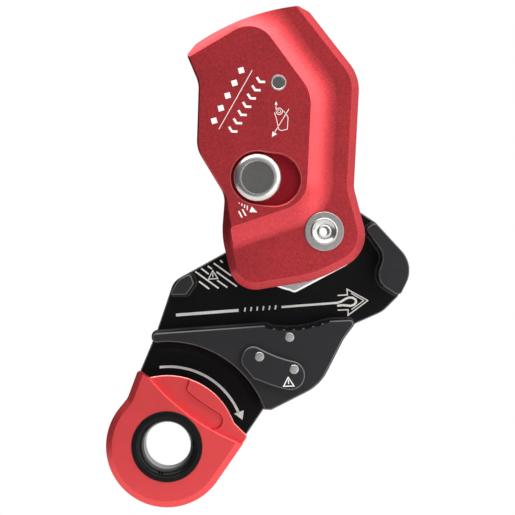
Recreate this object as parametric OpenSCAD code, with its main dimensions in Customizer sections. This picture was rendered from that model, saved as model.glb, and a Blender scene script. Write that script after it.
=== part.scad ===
// Rope grab with a pulley, for 12.5 to 13 mm rope, with its swing cover open.
// The working plane is the XZ plane. The front faces -Y and the hub's axis is the Y axis.
// Every piece is drawn flat, with its stack height measured from the rear of the back plate.

/* [Thickness stack] */
// Thickness of the back plate
plate_t = 6; // [5:0.5:7]
// Depth of the rope channels, from the plate to the top of the jaw block
channel_depth = 14.7; // [14.2:0.1:15.5]
// Thickness of the latch keeper on the jaw block
keeper_t = 3; // [2.6:0.1:3.2]
// Height of the cover's housing above its flange
boss_rise = 4; // [3.5:0.5:5]
// Thickness of the cover's flange
flange_t = 7.5; // [7:0.5:8]

/* [Hub and pulley] */
// Radius of the bore through the hub
hub_bore_r = 11; // [10.5:0.1:11.5]
// Radius of the rope tread of the sheave
tread_r = 24.3; // [23.5:0.1:25]
// Outer radius of the cheek and of the plate round the hub
cheek_r = 29.3; // [29:0.1:30]
// Radius of the concave wall of the jaw block about the hub
jaw_wall_r = 49.8; // [49:0.1:51]

/* [Cover and latch] */
// Radius of the cover's distal edge about the main pivot
cover_r = 108.65; // [108:0.05:108.8]
// Turn of the latch button about its rivet, in degrees
button_turn = 10; // [8:0.5:10]

/* [Cam] */
// Radius of the cam's grip face at its near end
cam_near_r = 32.6; // [32:0.1:33]
// Growth of the grip face's radius in millimetres per degree
cam_growth = 0.19; // [0.15:0.01:0.2]
// Turn of the cam from its stop to its limit, in degrees
cam_turn = 38; // [30:1:38]

/* [Hidden] */
$fn = 96;

// Places
rear_y = 13.5;                          // plate's rear face, so that the hub bore is centred on y = 0
pivot = [75.3, 103.0];                  // main pivot
latch_pivot = [53.3, 173.8];            // small rivet of the latch, cover open
button_arm = 46.3;                      // small rivet to button
button_angle = 257.6;                   // direction of the button from the small rivet
pawl_angle = 143.5;                     // direction of the pawl from the main pivot, cover open
keeper_pins = [[44.3, 42.8], [61.0, 36.7]];
jaw_pin = [58.8, 52.0];
jaw_screw_at = [[14, 53.0], [76.5, 47.0], [51.5, 27.0]];
guide_screw_at = [[7.3, 77.2], [106.4, 97.0], [109.6, 79.5]];
slot_end = 239.8;                       // direction of the cheek slot's round end from the main pivot
stop_r = 13.6;                          // main pivot to the cam's stop pin
stop_angle = 100;
scallop_centre = [58, 105.2];           // centre of the jaw's curved gripping wall

// Stack heights
run_gap = 0.3;
jaw_top = plate_t + channel_depth;
keeper_top = jaw_top + keeper_t;
cover_low = jaw_top + run_gap;
flange_top = cover_low + flange_t;
boss_top = flange_top + boss_rise;
cheek_low = jaw_top - run_gap;
ledge_top = keeper_top + 0.2;
slot_floor = ledge_top - 1.8;
cheek_top = flange_top;
lever_low = keeper_top + 0.9;
lever_top = lever_low + 2.6;
cavity_top = lever_top + run_gap;
recess_floor = boss_top - 3.6;
axle_low = plate_t;
axle_top = cheek_low;
washer_low = flange_top + run_gap;
washer_top = washer_low + 0.9;
bore_low = 8.5;
bore_high = 18.5;
cam_low = plate_t + 1.2;
cam_top = jaw_top - 1.2;
screw_tip = 15;
through = 40;                           // past every piece, for cuts
boss_steps = 4;

// Radii
axle_r = 6.0;
running = 0.05;
bush_r = 8.0;
hub_axle_r = 13.2;
hub_seat_r = 15.2;
race_in_r = 15.4;
race_out_r = 19.0;
sheave_bore_r = 21.0;
ball_r = 1.6;
ball_pitch_r = 17.2;
ball_rows = [10.2, 16.2];
balls_per_row = 14;
ledge_wall_r = cover_r + 0.45;
slot_in_r = 101.3;
slot_out_r = ledge_wall_r - 0.3;
keeper_in_r = 64.1;
keeper_out_r = 78.2;
funnel_r = 14.4;
throat_r = hub_bore_r + 0.4;
plate_hole_r = 5;
washer_r = 9.35;
pin_r = 2.25;
screw_r = 1.8;
stop_pin_r = 2;
latch_pin_r = 2.2;
button_pin_r = 1.6;

// ---- functions ----
function polar(c, r, a) = c + r * [cos(a), sin(a)];

// Points of an arc, both ends included
function arc(c, r, a0, a1, n) = [for (i = [0:n]) polar(c, r, a0 + (a1 - a0) * i / n)];

// An arc as outline corners that need no rounding
function arc_corners(c, r, a0, a1, n) = [for (p = arc(c, r, a0, a1, n)) [p[0], p[1], 0]];

function unit(v) = v / norm(v);
function xy(v) = [v[0], v[1]];
function cross2(a, b) = a[0] * b[1] - a[1] * b[0];

// Points that round one corner: v is [x, y, radius], between its neighbours p and q
function corner(p, v, q, n) =
    let (a = unit(xy(p) - xy(v)), b = unit(xy(q) - xy(v)), half = acos(a * b) / 2)
    v[2] == 0 || half > 89.5 ? [xy(v)] :
    let (
        centre = xy(v) + unit(a + b) * v[2] / sin(half),
        s = xy(v) + a * v[2] / tan(half) - centre,
        turn = (90 - half) * 2 * sign(cross2(b, a)),
        start = atan2(s[1], s[0])
    ) [for (i = [0:n]) polar(centre, v[2], start + turn * i / n)];

// Outline from corners [x, y, radius], each rounded with n steps
function rounded(v, n = 5) =
    let (c = len(v)) [for (i = [0:c - 1]) each corner(v[(i + c - 1) % c], v[i], v[(i + 1) % c], n)];

// The same corners moved inwards by d, for an outline that runs clockwise
function inset(v, d) =
    let (c = len(v)) [for (i = [0:c - 1])
        let (
            a = unit(xy(v[i]) - xy(v[(i + c - 1) % c])),
            b = unit(xy(v[(i + 1) % c]) - xy(v[i])),
            na = [a[1], -a[0]],
            nb = [b[1], -b[0]],
            m = xy(v[i]) + (na + nb) * d / (1 + na * nb),
            r = v[i][2] + (cross2(a, b) > 0 ? d : -d)
        ) [m[0], m[1], v[i][2] == 0 ? 0 : max(0.3, r)]];

// ---- shared shapes ----
// From flat drawing with stack height to the upright frame
module upright() {
    translate([0, rear_y, 0])
        rotate([90, 0, 0])
            children();
}

// Prism of an outline between two stack heights
module slab(points, low, high) {
    translate([0, 0, low])
        linear_extrude(high - low)
            polygon(points);
}

// Prism whose top edge steps inwards, from clockwise corners
module chamfered(corners, low, high, wide, deep) {
    slab(rounded(corners), low, high - deep);
    slab(rounded(inset(corners, wide / 2)), low, high - deep / 2);
    slab(rounded(inset(corners, wide)), low, high);
}

module disc(at, r, low, high) {
    translate([at[0], at[1], low])
        cylinder(r = r, h = high - low);
}

module ring(at, r_in, r_out, low, high) {
    difference() {
        disc(at, r_out, low, high);
        disc(at, r_in, low - 1, high + 1);
    }
}

// Part of a ring between two directions
module ring_sector(at, r_in, r_out, a0, a1, low, high) {
    translate([at[0], at[1], low])
        rotate([0, 0, a0])
            rotate_extrude(angle = a1 - a0)
                translate([r_in, 0])
                    square([r_out - r_in, high - low]);
}

// Solid of revolution about an upright axis from [radius, stack height] points
module turned(at, profile) {
    translate([at[0], at[1], 0])
        rotate_extrude()
            polygon(profile);
}

// Countersunk screw that enters the rear face of the plate
module rear_screw(at, r, tip) {
    turned(at, [[0, 0], [r * 2, 0], [r, r], [r, tip], [0, tip]]);
}

// Rivet with a low rear head and a flush front end
module rivet(at, r, top) {
    turned(at, [[0, -1], [r * 1.7, -1], [r * 1.8, -0.6], [r * 1.8, 0], [r, 0], [r, top], [0, top]]);
}

// Round wire coiled about an upright axis
module wire_coil(at, r, wire_r, low, turns, pitch) {
    sides = 8;
    steps = turns * 24;
    rings = [for (k = [0:steps]) let (a = k * 15, z = low + pitch * k / 24)
        [for (s = [0:sides - 1]) let (w = s * 360 / sides)
            [(r + wire_r * cos(w)) * cos(a), (r + wire_r * cos(w)) * sin(a), z + wire_r * sin(w)]]];
    translate([at[0], at[1], 0])
        polyhedron(
            points = [for (one = rings) each one],
            faces = [
                [for (s = [0:sides - 1]) s],
                [for (s = [sides - 1:-1:0]) steps * sides + s],
                for (k = [0:steps - 1], s = [0:sides - 1])
                    [k * sides + s, (k + 1) * sides + s, (k + 1) * sides + (s + 1) % sides],
                for (k = [0:steps - 1], s = [0:sides - 1])
                    [k * sides + s, (k + 1) * sides + (s + 1) % sides, k * sides + (s + 1) % sides]
            ]
        );
}

// ---- outlines, clockwise, corners as [x, y, radius] ----
hub_side = concat(arc_corners([0, 0], cheek_r, -33, -221, 30), [[-18.9, 23.2, 8]]);

plate_corners = concat(
    [[2.3, 79.0, 9], [80, 122, 16], [101.4, 107.6, 4], [119.8, 86.6, 14], [112.0, 71.2, 4],
     [104.8, 64.0, 14], [86.2, 55.8, 12], [73.5, 28.4, 22], [49.8, 16.6, 1.5], [46.9, 17.0, 1.2]],
    hub_side,
    [[-13.6, 36.2, 12], [-6.2, 53.8, 12]]
);

jaw_corners = concat(
    [[-7.4, 53.8, 2.2], [47.4, 57.7, 1.0], [50.3, 56.4, 0.4]],
    arc_corners(scallop_centre, 49.2, 262.5, 288.5, 12),
    [[78.4, 59.9, 1.2], [91.6, 60.5, 1.8], [84.6, 51.2, 15], [73.2, 28.8, 22], [49.9, 17.0, 1.6]],
    [[46.8, 17.1, 1.3]],
    arc_corners([0, 0], jaw_wall_r, 23.6, 96.5, 24),
    [[-7.4, 49.3, 2.0]]
);

keeper_corners = concat(
    [[38.4, 49.8, 5.2]],
    arc_corners(pivot, keeper_in_r, 244, 255, 4),
    [[67.0, 39.4, 7], [65.2, 25.4, 7]],
    arc_corners(pivot, keeper_out_r, 256, 246, 4),
    [[41.6, 31.9, 3], [34.9, 40.2, 5]]
);

left_guide_corners = [
    [1.0, 72.4, 1.0], [4.9, 79.6, 8], [10.9, 83.0, 1.8], [12.7, 77.8, 1.6], [8.9, 72.5, 0.8]
];

right_guide_corners = [
    [100.2, 107.6, 2.2], [119.4, 86.8, 14], [112.1, 71.6, 2.5],
    [100.0, 79.2, 8], [104.9, 91.5, 8], [95.6, 104.3, 1.8]
];

cheek_corners = concat(
    [[-13.9, 36.7, 1.3], [-9.8, 33.6, 1.6]],
    arc_corners([0, 0], 33.8, 104, 25, 20),
    [[32.2, 10.9, 3], [38.7, 4.5, 1.6]],
    arc_corners([0, 0], cheek_r, -37, -221, 30),
    [[-18.9, 23.2, 8]]
);

cover_side = [
    [68.3, 208.2, 2.5], [92.4, 177.4, 20], [89.6, 124.0, 12], [97.7, 92.8, 16], [72.0, 79.8, 50],
    [32.6, 73.1, 13], [26.2, 101, 40], [27.7, 120.3, 12], [14.2, 142.4, 14], [15.2, 174, 15],
    [9.6, 187.2, 1.6], [13.6, 192.4, 2]
];

cover_outline_corners = concat(cover_side, arc_corners(pivot, cover_r, 122.6, 96.6, 16));

boss_top_corners = [
    [-4, 177.2, 0], [42.8, 204.9, 13], [69.0, 169.0, 18], [66.6, 117.0, 14], [-4, 93.4, 0]
];

boss_base_corners = [
    [-4, 189, 0], [49.5, 219.5, 13], [82.6, 174, 20], [80.2, 109.5, 24], [-4, 79.9, 0]
];

cam_corners = concat(
    [[36.0, 92.6, 3]],
    [[60.0, 117.6, 12], [80.0, 121.5, 14], [93.0, 106.0, 12], [89.2, 88.2, 9]],
    [[61.2, 73.4, 2.6]],
    [for (a = [240:-4:200]) let (p = polar(pivot, cam_near_r + cam_growth * (241.5 - a), a)) [p[0], p[1], 0]]
);

cavity_corners = [
    [46, 182, 4], [62.4, 182, 4], [62.0, 119.0, 4], [35.8, 119.0, 4],
    [36.4, 137, 2], [29.5, 146, 2], [17.8, 141.5, 1], [18.2, 152, 4], [38, 172, 6]
];

// Room that the lever's long arm sweeps, above the pawl's guide
arm_room_corners = [[36.4, 150, 1], [36.4, 130, 1], [28.2, 132.2, 2], [17.4, 141.2, 1], [17.6, 150, 1]];

// Step and slot of the cheek that the cover's tongue enters
slot_middle_r = (slot_in_r + slot_out_r) / 2;
cheek_slot_corners = concat(
    arc_corners(pivot, slot_out_r, 205, 239, 12),
    arc_corners(polar(pivot, slot_middle_r, slot_end), slot_out_r - slot_middle_r, 245, 415, 8),
    arc_corners(pivot, slot_in_r, slot_end, 231, 6),
    [concat(polar(pivot, slot_in_r, 229), 2.5)],
    [concat(polar(pivot, 92, 226.4), 0)],
    [concat(polar(pivot, 92, 205), 0)]
);

lever_corners = [
    [latch_pivot[0] - 2, latch_pivot[1] + 7, 4.6], [latch_pivot[0] + 8, latch_pivot[1] + 2, 4.6],
    [51.5, 122.0, 5], [37.5, 121.5, 5], [39.2, 140, 2], [44.6, 162.5, 3],
    [20.9, 141.4, 1.6], [17.9, 144.6, 1.6]
];

// ---- fixed pieces ----
module back_plate() {
    color([0.11, 0.11, 0.12])
        upright()
            difference() {
                slab(rounded(plate_corners), 0, plate_t);
                disc([0, 0], hub_seat_r, -1, plate_t + 1);
                disc(pivot, plate_hole_r, -1, plate_t + 1);
                disc(polar(pivot, stop_r, stop_angle), stop_pin_r, -1, plate_t + 1);
                for (at = keeper_pins) disc(at, pin_r, -1, plate_t + 1);
                disc(jaw_pin, pin_r, -1, plate_t + 1);
                for (at = concat(jaw_screw_at, guide_screw_at)) rear_screw(at, screw_r, plate_t + 1);
            }
}

module jaw_block() {
    color([0.12, 0.12, 0.13])
        upright()
            difference() {
                slab(rounded(jaw_corners), plate_t, jaw_top);
                for (k = [-3:3])
                    disc(polar(scallop_centre, 47, 276 + 5.45 * k), 3.2, plate_t + 1.2, jaw_top + 1);
                for (at = keeper_pins) disc(at, pin_r, 0, jaw_top + 1);
                disc(jaw_pin, pin_r, 0, jaw_top + 1);
                for (at = jaw_screw_at) disc(at, screw_r, 0, screw_tip);
            }
}

module rope_guide(corners, screws) {
    color([0.12, 0.12, 0.13])
        upright()
            difference() {
                slab(rounded(corners), plate_t, jaw_top);
                for (at = screws) disc(at, screw_r, 0, screw_tip);
            }
}

module left_rope_guide() {
    rope_guide(left_guide_corners, guide_screw_at);
}

module right_rope_guide() {
    rope_guide(right_guide_corners, guide_screw_at);
}

module latch_keeper() {
    color([0.14, 0.14, 0.15])
        upright()
            difference() {
                slab(rounded(keeper_corners), jaw_top, keeper_top);
                for (at = keeper_pins) disc(at, pin_r, 0, keeper_top + 1);
            }
}

module keeper_rivets() {
    color([0.3, 0.3, 0.31])
        upright()
            for (at = keeper_pins) rivet(at, pin_r, keeper_top);
}

module jaw_rivet() {
    color([0.3, 0.3, 0.31])
        upright()
            rivet(jaw_pin, pin_r, jaw_top);
}

module jaw_screws() {
    color([0.5, 0.5, 0.52])
        upright()
            for (at = jaw_screw_at) rear_screw(at, screw_r, screw_tip);
}

module guide_screws() {
    color([0.5, 0.5, 0.52])
        upright()
            for (at = guide_screw_at) rear_screw(at, screw_r, screw_tip);
}

module cam_stop_pin() {
    color([0.6, 0.6, 0.62])
        upright()
            disc(polar(pivot, stop_r, stop_angle), stop_pin_r, 0, 18);
}

// ---- main pivot ----
module pivot_axle() {
    color([0.7, 0.7, 0.72])
        upright()
            turned(pivot, [
                [2.4, -2], [6.4, -2], [7.2, -1], [plate_hole_r, -1],
                [plate_hole_r, plate_t], [axle_r, plate_t],
                [axle_r, washer_low], [plate_hole_r, washer_low],
                [plate_hole_r, washer_top], [6.5, washer_top], [6.3, washer_top + 0.7],
                [5.4, washer_top + 0.9], [3.2, washer_top + 0.1], [2.4, washer_top - 0.6]
            ]);
}

module pivot_washer() {
    color([0.75, 0.75, 0.77])
        upright()
            ring(pivot, plate_hole_r, washer_r, washer_low, washer_top);
}

module rear_washer() {
    color([0.75, 0.75, 0.77])
        upright()
            ring(pivot, plate_hole_r, 10, -1, 0);
}

module thrust_washers() {
    color([0.75, 0.68, 0.45])
        upright() {
            ring(pivot, axle_r, 11, plate_t, plate_t + 0.6);
            ring(pivot, axle_r, 11, jaw_top - 0.6, jaw_top);
        }
}

// ---- hub and pulley ----
module front_cheek() {
    color([0.75, 0.2, 0.22])
        upright()
            difference() {
                chamfered(cheek_corners, cheek_low, cheek_top, 2.6, 2.0);
                disc(pivot, ledge_wall_r, ledge_top, cheek_top + 1);
                slab(rounded(cheek_slot_corners), slot_floor, ledge_top + 1);
                disc([0, 0], hub_seat_r, 0, through);
            }
}

module hub_axle() {
    color([0.75, 0.75, 0.77])
        upright()
            turned([0, 0], [
                [throat_r, axle_low], [hub_axle_r, axle_low], [hub_axle_r, axle_top], [throat_r, axle_top],
                [hub_bore_r, bore_high], [hub_bore_r, bore_low]
            ]);
}

// Funnel ring: seat in a plate of the hub, with its face at one end
module hub_ring(seat, face, lip) {
    turned([0, 0], concat(
        [[hub_seat_r, seat], [hub_seat_r, face], [17, face], [17, face + lip * 0.5], [16.5, face + lip]],
        [[funnel_r, face + lip]],
        [for (k = [1:6]) let (a = 15 * k, edge = face + lip)
            [funnel_r - (funnel_r - throat_r) * sin(a), edge + (seat - edge) * (1 - cos(a))]]
    ));
}

module front_hub_ring() {
    color([0.1, 0.1, 0.11])
        upright()
            difference() {
                hub_ring(cheek_low, cheek_top, 0.8);
                for (a = [105, 225, 345]) disc(polar([0, 0], 15.7, a), 0.5, cheek_top + 0.3, cheek_top + 2);
            }
}

module rear_hub_ring() {
    color([0.1, 0.1, 0.11])
        upright()
            hub_ring(plate_t, 0, -0.8);
}

module hub_spacers() {
    color([0.6, 0.6, 0.62])
        upright() {
            ring([0, 0], hub_axle_r, 16.4, plate_t, plate_t + 0.8);
            ring([0, 0], hub_axle_r, 16.4, cheek_low - 0.8, cheek_low);
        }
}

module ball_grooves(r) {
    for (row = ball_rows)
        translate([0, 0, row])
            rotate_extrude()
                translate([ball_pitch_r, 0])
                    circle(r = r, $fn = 32);
}

module bearing_inner_race() {
    color([0.7, 0.7, 0.72])
        upright()
            difference() {
                ring([0, 0], hub_axle_r, race_in_r + 0.6, plate_t + 0.8, cheek_low - 0.8);
                ball_grooves(ball_r + running);
            }
}

module bearing_outer_race() {
    color([0.7, 0.7, 0.72])
        upright()
            difference() {
                ring([0, 0], race_out_r - 0.6, sheave_bore_r, plate_t + 1.2, cheek_low - 1.2);
                ball_grooves(ball_r);
            }
}

module bearing_balls() {
    color([0.8, 0.8, 0.82])
        upright()
            for (row = ball_rows, k = [0:balls_per_row - 1]) {
                at = polar([0, 0], ball_pitch_r, k * 360 / balls_per_row);
                translate([at[0], at[1], row])
                    sphere(r = ball_r, $fn = 32);
            }
}

module sheave() {
    low = plate_t + 0.5;
    high = cheek_low - 0.5;
    middle = (low + high) / 2;
    groove_r = 6.7;
    color([0.62, 0.62, 0.64])
        upright()
            difference() {
                ring([0, 0], sheave_bore_r, cheek_r - 1, low, high);
                translate([0, 0, middle])
                    rotate_extrude()
                        translate([tread_r + groove_r, 0])
                            circle(r = groove_r, $fn = 64);
            }
}

// ---- cam ----
module cam() {
    cam_limit = stop_angle - cam_turn;
    color([0.55, 0.55, 0.57])
        upright()
            difference() {
                union() {
                    slab(rounded(cam_corners), cam_low, cam_top);
                    disc(pivot, 11, plate_t + 0.9, jaw_top - 0.9);
                }
                disc(pivot, bush_r, 0, through);
                disc(pivot, 11.2, 0, cam_low + 3.4);
                ring_sector(pivot, stop_r - 2.3, stop_r + 2.3, cam_limit, stop_angle, 0, through);
                for (a = [stop_angle, cam_limit]) disc(polar(pivot, stop_r, a), 2.3, 0, through);
            }
}

module cam_bushing() {
    color([0.7, 0.55, 0.3])
        upright()
            ring(pivot, axle_r + running, bush_r, plate_t + 0.9, jaw_top - 0.9);
}

module cam_spring() {
    color([0.7, 0.7, 0.72])
        upright()
            wire_coil(pivot, 9.6, 0.5, cam_low + 0.6, 2, 1.1);
}

// ---- cover ----
module swing_cover() {
    color([0.65, 0.13, 0.17])
        upright()
            difference() {
                union() {
                    chamfered(cover_outline_corners, cover_low, flange_top, 3.4, 2.2);
                    for (k = [0:boss_steps - 1]) boss_step(k);
                }
                // bore of the main pivot and of the small rivet
                disc(pivot, bush_r, 0, through);
                disc(pivot, washer_r + 0.4, flange_top, through);
                disc(latch_pivot, latch_pin_r, 0, through);
                disc(latch_pivot, 3.8, boss_top - 2, through);
                // clearance over the cheek's ledge, with the tongue left standing in the slot's place
                difference() {
                    ring_sector(pivot, 93.3, 112, 80, 140, 0, ledge_top + 0.35);
                    ring_sector(pivot, slot_in_r + 0.5, slot_out_r - 0.3, 97, 116.5, slot_floor + 0.4, ledge_top + 2);
                }
                // groove that the keeper passes through
                ring_sector(pivot, keeper_in_r - 0.5, keeper_out_r + 0.6, 111, 156, 0, keeper_top + 0.4);
                // housing of the lever and of the pawl
                slab(rounded(cavity_corners), 0, cavity_top);
                slab(rounded(arm_room_corners), lever_low - run_gap, cavity_top);
                pawl_pocket();
                // recess and slot of the button
                button_path(12.5, recess_floor, through);
                button_path(3.4, 0, through);
            }
}

// One step of the housing's slope, from its foot up to its flat top
module boss_step(k) {
    t = k / (boss_steps - 1);
    corners = [for (i = [0:len(boss_top_corners) - 1])
        boss_top_corners[i] * t + boss_base_corners[i] * (1 - t)];
    translate([0, 0, flange_top - 1])
        linear_extrude(1 + boss_rise * pow((k + 1) / boss_steps, 2))
            intersection() {
                polygon(rounded(corners));
                polygon(rounded(inset(cover_outline_corners, 0.4 + 2 * t)));
            }
}

// Path that the button sweeps about the small rivet, widened to radius r
module button_path(r, low, high) {
    disc(polar(latch_pivot, button_arm, button_angle), r, low, high);
    disc(polar(latch_pivot, button_arm, button_angle + button_turn), r, low, high);
    turned_to = button_angle + button_turn;
    ring_sector(latch_pivot, button_arm - r, button_arm + r, button_angle, turned_to, low, high);
}

// Straight block along the pawl's line, between two radii from the main pivot
module along_pawl(r0, r1, half_width, low, high) {
    translate([pivot[0], pivot[1], low])
        rotate([0, 0, pawl_angle])
            translate([r0, -half_width, 0])
                cube([r1 - r0, 2 * half_width, high - low]);
}

module pawl_pocket() {
    along_pawl(51, 68.4, 3.3, 0, cavity_top);
}

module cover_bushing() {
    color([0.7, 0.55, 0.3])
        upright()
            ring(pivot, axle_r + running, bush_r, cover_low, flange_top);
}

module latch_pivot_pin() {
    color([0.6, 0.6, 0.62])
        upright()
            turned(latch_pivot, [
                [0, lever_low - 2.2], [3.6, lever_low - 2.2], [3.6, lever_low - 0.9], [2.2, lever_low - 0.9],
                [2.2, boss_top - 2], [3.8, boss_top - 2], [3.8, boss_top],
                [3.2, boss_top + 0.3], [0, boss_top + 0.3]
            ]);
}

module latch_spring() {
    color([0.75, 0.75, 0.77])
        upright()
            wire_coil(latch_pivot, 4.6, 0.4, lever_low - 2.3, 2, 0.85);
}

// Leaf spring beside the pawl's end
module pawl_detent_spring() {
    color([0.75, 0.75, 0.77])
        upright()
            along_pawl(51.2, 51.8, 2.6, cover_low + 0.4, lever_low - 0.2);
}

// ---- latch ----
module latch_lever() {
    color([0.6, 0.6, 0.62])
        upright()
            difference() {
                slab(rounded(lever_corners), lever_low, lever_top);
                disc(latch_pivot, latch_pin_r + running, 0, through);
                disc(polar(latch_pivot, button_arm, button_angle), button_pin_r, 0, through);
            }
}

module latch_button() {
    at = polar(latch_pivot, button_arm, button_angle);
    low = recess_floor + run_gap;
    color([0.72, 0.72, 0.74])
        upright()
            turned(at, [
                [1.6, lever_top], [3, lever_top], [3, low], [11.5, low],
                [11.5, low + 2.6], [11.1, low + 3.0],
                [8.0, boss_top + 1.6], [7.2, boss_top + 1.4], [1.6, boss_top + 1.4]
            ]);
}

module button_rivet() {
    at = polar(latch_pivot, button_arm, button_angle);
    color([0.6, 0.6, 0.62])
        upright()
            turned(at, [
                [0, lever_low - 0.8], [2.6, lever_low - 0.8], [2.6, lever_low], [1.6, lever_low],
                [1.6, boss_top + 1.4], [0, boss_top + 1.4]
            ]);
}

module latch_pawl() {
    color([0.6, 0.6, 0.62])
        upright()
            along_pawl(54, 63.4, 3.0, cover_low + 0.4, lever_low - 0.3);
}

back_plate();
jaw_block();
left_rope_guide();
right_rope_guide();
latch_keeper();
keeper_rivets();
jaw_rivet();
jaw_screws();
guide_screws();
pivot_axle();
pivot_washer();
rear_washer();
thrust_washers();
cam_stop_pin();
front_cheek();
hub_axle();
front_hub_ring();
rear_hub_ring();
hub_spacers();
bearing_inner_race();
bearing_outer_race();
bearing_balls();
sheave();
cam();
cam_bushing();
cam_spring();
swing_cover();
cover_bushing();
latch_pivot_pin();
latch_spring();
pawl_detent_spring();
latch_lever();
latch_button();
button_rivet();
latch_pawl();
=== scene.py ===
import math
import bmesh
import bpy
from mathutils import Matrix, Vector


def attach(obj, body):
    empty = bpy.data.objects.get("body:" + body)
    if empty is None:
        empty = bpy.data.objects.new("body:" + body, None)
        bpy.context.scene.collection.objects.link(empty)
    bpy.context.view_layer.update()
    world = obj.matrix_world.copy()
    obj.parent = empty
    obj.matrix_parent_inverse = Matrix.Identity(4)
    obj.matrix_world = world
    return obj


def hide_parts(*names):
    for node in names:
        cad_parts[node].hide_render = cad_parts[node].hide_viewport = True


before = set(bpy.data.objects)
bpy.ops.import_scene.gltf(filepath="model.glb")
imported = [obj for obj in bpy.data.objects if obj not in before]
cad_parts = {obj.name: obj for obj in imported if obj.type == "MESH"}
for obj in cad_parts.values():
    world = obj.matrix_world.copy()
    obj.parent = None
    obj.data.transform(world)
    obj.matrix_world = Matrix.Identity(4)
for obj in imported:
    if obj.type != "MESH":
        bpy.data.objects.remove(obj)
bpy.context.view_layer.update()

# ---- places and sizes of part.scad, in millimetres ----
# Outlines are flat, as (x, y) with y up. Heights count forwards from the plate's rear face.
MM = 0.001
REAR = 13.5                       # the scene's y at height 0
HUB = (0, 0)
PIVOT = (75.3, 103.0)             # main pivot of the cam and the cover
LATCH_PIVOT = (53.3, 173.8)
SCALLOP_CENTRE = (58, 105.2)      # the jaw's scallops lie on an arc about this point
KEEPER_PINS = [(44.3, 42.8), (61.0, 36.7)]
JAW_PIN = (58.8, 52.0)
BUTTON_ARM = 46.3                 # from the latch's pivot to the button
BUTTON_ANGLE = 257.6
BUTTON_TURN = 10
PAWL_ANGLE = 143.5
# radii
HUB_HOLE_R = 15.2                 # through the plate and the cheek
CHEEK_R = 29.3
JAW_WALL_R = 49.8
COVER_R = 108.65                  # the cover's curved end, about the main pivot
LEDGE_WALL_R = 109.1              # the cheek's wall that it meets
AXLE_R = 5                        # the main pivot's narrow ends
BUSHING_R = 8                     # holes of the cam and the cover for their bushings
WASHER_R = 9.35
PIN_R = 2.25
RECESS_R = 12.5                   # the button's recess, and its rim at the top
RECESS_RIM_R = 13.1
# heights
PLATE = 6.0                       # front face of the plate, floor of both rope channels
CHEEK_LOW = 20.4
JAW_TOP = 20.7
COVER_LOW = 21.0
SLOT_FLOOR = 22.1
KEEPER_TOP = 23.7
LEDGE_TOP = 23.9
CAVITY_TOP = 27.5
FLANGE_TOP = 28.5
RECESS_FLOOR = 28.9
BOSS_TOP = 32.5
ABOVE = 40                        # clear of every piece
THROUGH = (0, ABOVE)              # low and high end of a cutter that goes through
# shading
SLANTED = (0.2, 0.98)             # range of a slanted face's normal along y
FLAT = 0.9998                     # least that a flat face's normal has along y
COVER_STEPS = 12                  # steps that round a corner of the cover
SKY_LOW = 0.08                    # the sky's strength as a light, from the left to the right
SKY_TOP = 0.9


# ---- flat geometry ----
def polar(c, r, a):
    return (c[0] + r * math.cos(math.radians(a)), c[1] + r * math.sin(math.radians(a)))


def arc(c, r, a0, a1, n):
    return [polar(c, r, a0 + (a1 - a0) * i / n) for i in range(n + 1)]


def arc_corners(c, r, a0, a1, n):
    return [(x, y, 0) for x, y in arc(c, r, a0, a1, n)]


def unit(x, y):
    d = math.hypot(x, y)
    return (x / d, y / d)


def corner(p, v, q, n):
    """Points that round corner v = (x, y, radius) between its neighbours."""
    a = unit(p[0] - v[0], p[1] - v[1])
    b = unit(q[0] - v[0], q[1] - v[1])
    half = math.acos(max(-1, min(1, a[0] * b[0] + a[1] * b[1]))) / 2
    if v[2] == 0 or half > math.radians(89.5):
        return [(v[0], v[1])]
    m = unit(a[0] + b[0], a[1] + b[1])
    reach = v[2] / math.sin(half)
    centre = (v[0] + m[0] * reach, v[1] + m[1] * reach)
    back = v[2] / math.tan(half)
    start = math.degrees(math.atan2(v[1] + a[1] * back - centre[1], v[0] + a[0] * back - centre[0]))
    side = 1 if b[0] * a[1] - b[1] * a[0] > 0 else -1
    turn = (90 - math.degrees(half)) * 2 * side
    return [polar(centre, v[2], start + turn * i / n) for i in range(n + 1)]


def rounded(v, n=10):
    c = len(v)
    return [p for i in range(c) for p in corner(v[i - 1], v[i], v[(i + 1) % c], n)]


def inset(v, d):
    """The corners of a clockwise outline moved inwards by d, or outwards where d is below 0."""
    out = []
    for i, p in enumerate(v):
        q = v[(i + 1) % len(v)]
        a = unit(p[0] - v[i - 1][0], p[1] - v[i - 1][1])
        b = unit(q[0] - p[0], q[1] - p[1])
        k = d / (1 + a[1] * b[1] + a[0] * b[0])
        bend = 1 if a[0] * b[1] - a[1] * b[0] > 0 else -1
        r = 0 if p[2] == 0 else max(0.25, p[2] + d * bend)
        out.append((p[0] + (a[1] + b[1]) * k, p[1] - (a[0] + b[0]) * k, r))
    return out


def mixed(a, b, t):
    """Corners part of the way from outline a to outline b."""
    return [tuple(p * (1 - t) + q * t for p, q in zip(u, v)) for u, v in zip(a, b)]


def between(p, q, t):
    return (p[0] + (q[0] - p[0]) * t, p[1] + (q[1] - p[1]) * t)


def level(corners, inwards, height, n=10):
    """One outline of a stack: rounded corners moved inwards, with their height."""
    return (rounded(inset(corners, inwards) if inwards else corners, n), height)


# ---- solids ----
def made(name, verts, faces):
    """A mesh from points (x, y, height), with its doubles merged and its faces turned outwards."""
    mesh = bpy.data.meshes.new(name)
    mesh.from_pydata([(x * MM, (REAR - h) * MM, y * MM) for x, y, h in verts], [], faces)
    bm = bmesh.new()
    bm.from_mesh(mesh)
    bmesh.ops.remove_doubles(bm, verts=bm.verts, dist=1e-7)
    bmesh.ops.recalc_face_normals(bm, faces=bm.faces)
    bm.to_mesh(mesh)
    bm.free()
    obj = bpy.data.objects.new(name, mesh)
    bpy.context.scene.collection.objects.link(obj)
    return obj


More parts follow.
